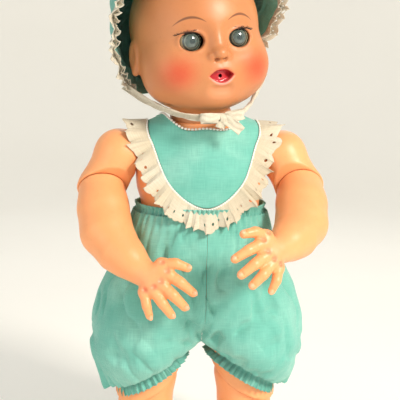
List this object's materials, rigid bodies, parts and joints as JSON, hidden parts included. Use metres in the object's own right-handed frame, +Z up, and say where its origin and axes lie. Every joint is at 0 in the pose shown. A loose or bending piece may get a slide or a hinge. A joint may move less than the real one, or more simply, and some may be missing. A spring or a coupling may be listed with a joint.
{
  "type": "jointed baby doll",
  "caption": "Standing vinyl baby doll in a bonnet and puffed romper, with sleep eyes, a nursing mouth, a turning head and jointed arms and legs.",
  "frame": {"origin": "centre of the doll's bounding box in plan, on the plane under its soles", "axes": "+Z up, the doll faces -Y, +X to the right of someone who faces the doll"},
  "size_m": [0.2504, 0.2261, 0.5483],
  "materials": {
    "body_vinyl": "satin peach vinyl",
    "head_vinyl": "satin tan vinyl with sprayed blush",
    "turquoise_cotton": "plain woven cotton",
    "cream_eyelet": "scalloped eyelet edging",
    "cream_ribbon": "thin ribbon",
    "eye_shell": "glossy",
    "iris_lens": "clear glossy lens over a blue-grey iris",
    "lash_bristle": "bristle",
    "cup_plastic": "moulded",
    "steel_wire": "drawn wire",
    "lead": "dull cast metal",
    "latex_rubber": "aged rubber",
    "button_plastic": "pearl"
  },
  "bodies": {
    "torso": {"torso_shell": "body_vinyl", "arm_elastic": "latex_rubber", "leg_elastic": "latex_rubber", "body_tube": "latex_rubber", "drain_plug": "cup_plastic", "bib": "turquoise_cotton", "bib_ruffle": "cream_eyelet", "waistband": "turquoise_cotton", "strap_left": "turquoise_cotton", "strap_right": "turquoise_cotton", "button_left": "button_plastic", "button_right": "button_plastic", "bloomer_left": "turquoise_cotton", "bloomer_right": "turquoise_cotton"},
    "head": {"head_shell": "head_vinyl", "eye_cup_left": "cup_plastic", "eye_cup_right": "cup_plastic", "eye_pin_left": "steel_wire", "eye_pin_right": "steel_wire", "mouth_tube": "latex_rubber", "bonnet": "turquoise_cotton", "bonnet_lace": "cream_eyelet", "bonnet_tie": "cream_ribbon", "bonnet_bow": "cream_ribbon"},
    "eye_left": {"eyeball_left": "eye_shell", "iris_left": "iris_lens", "lashes_left": "lash_bristle", "eye_weight_left": "lead"},
    "upper_arm_left": {"upper_arm_left": "body_vinyl", "arm_hook_left": "steel_wire"},
    "lower_arm_left": {"lower_arm_left": "body_vinyl"},
    "upper_leg_left": {"upper_leg_left": "body_vinyl", "leg_hook_left": "steel_wire", "leg_cuff_left": "turquoise_cotton"},
    "lower_leg_left": {"lower_leg_left": "body_vinyl"},
    "eye_right": {"eyeball_right": "eye_shell", "iris_right": "iris_lens", "lashes_right": "lash_bristle", "eye_weight_right": "lead"},
    "upper_arm_right": {"upper_arm_right": "body_vinyl", "arm_hook_right": "steel_wire"},
    "lower_arm_right": {"lower_arm_right": "body_vinyl"},
    "upper_leg_right": {"upper_leg_right": "body_vinyl", "leg_hook_right": "steel_wire", "leg_cuff_right": "turquoise_cotton"},
    "lower_leg_right": {"lower_leg_right": "body_vinyl"}
  },
  "joints": [
    {"name": "neck_turn", "type": "hinge", "parent": "torso", "child": "head", "pos_m": [0, 0.024, 0.367], "axis": [0, 0, 1], "range_deg": [-72, 48], "deforming": ["bonnet_tie", "bonnet_bow"]},
    {"name": "eye_tilt_left", "type": "hinge", "parent": "head", "child": "eye_left", "pos_m": [-0.02255, -0.02782, 0.44741], "axis": [0.9736, 0.207, 0.0958], "range_deg": [0, 54]},
    {"name": "eye_tilt_right", "type": "hinge", "parent": "head", "child": "eye_right", "pos_m": [0.02418, -0.01789, 0.45201], "axis": [0.9736, 0.207, 0.0958], "range_deg": [0, 54]},
    {"name": "shoulder_left", "type": "hinge", "parent": "torso", "child": "upper_arm_left", "pos_m": [-0.07, 0.022, 0.338], "axis": [-1, 0, 0], "range_deg": [-4, 95], "deforming": ["arm_elastic"]},
    {"name": "elbow_left", "type": "hinge", "parent": "upper_arm_left", "child": "lower_arm_left", "pos_m": [-0.101, 0.017, 0.298], "axis": [0, -0.769, -0.6392], "range_deg": [-3, 150]},
    {"name": "shoulder_right", "type": "hinge", "parent": "torso", "child": "upper_arm_right", "pos_m": [0.07, 0.022, 0.338], "axis": [-1, 0, 0], "range_deg": [-14, 85]},
    {"name": "elbow_right", "type": "hinge", "parent": "upper_arm_right", "child": "lower_arm_right", "pos_m": [0.101, 0.00747, 0.3004], "axis": [0, 0.9008, 0.4342], "range_deg": [-12, 138]},
    {"name": "hip_left", "type": "hinge", "parent": "torso", "child": "upper_leg_left", "pos_m": [-0.04, 0.022, 0.172], "axis": [-1, 0, 0], "range_deg": [-20, 55], "deforming": ["bloomer_left", "leg_cuff_left", "leg_elastic"]},
    {"name": "knee_left", "type": "hinge", "parent": "upper_leg_left", "child": "lower_leg_left", "pos_m": [-0.0505, 0.022, 0.1], "axis": [0.3708, 0.451, -0.8118], "range_deg": [-25, 110]},
    {"name": "hip_right", "type": "hinge", "parent": "torso", "child": "upper_leg_right", "pos_m": [0.04, 0.022, 0.172], "axis": [-1, 0, 0], "range_deg": [-20, 55], "deforming": ["bloomer_right", "leg_cuff_right"]},
    {"name": "knee_right", "type": "hinge", "parent": "upper_leg_right", "child": "lower_leg_right", "pos_m": [0.0505, 0.022, 0.1], "axis": [0.3708, -0.451, 0.8118], "range_deg": [-25, 110]}
  ]
}
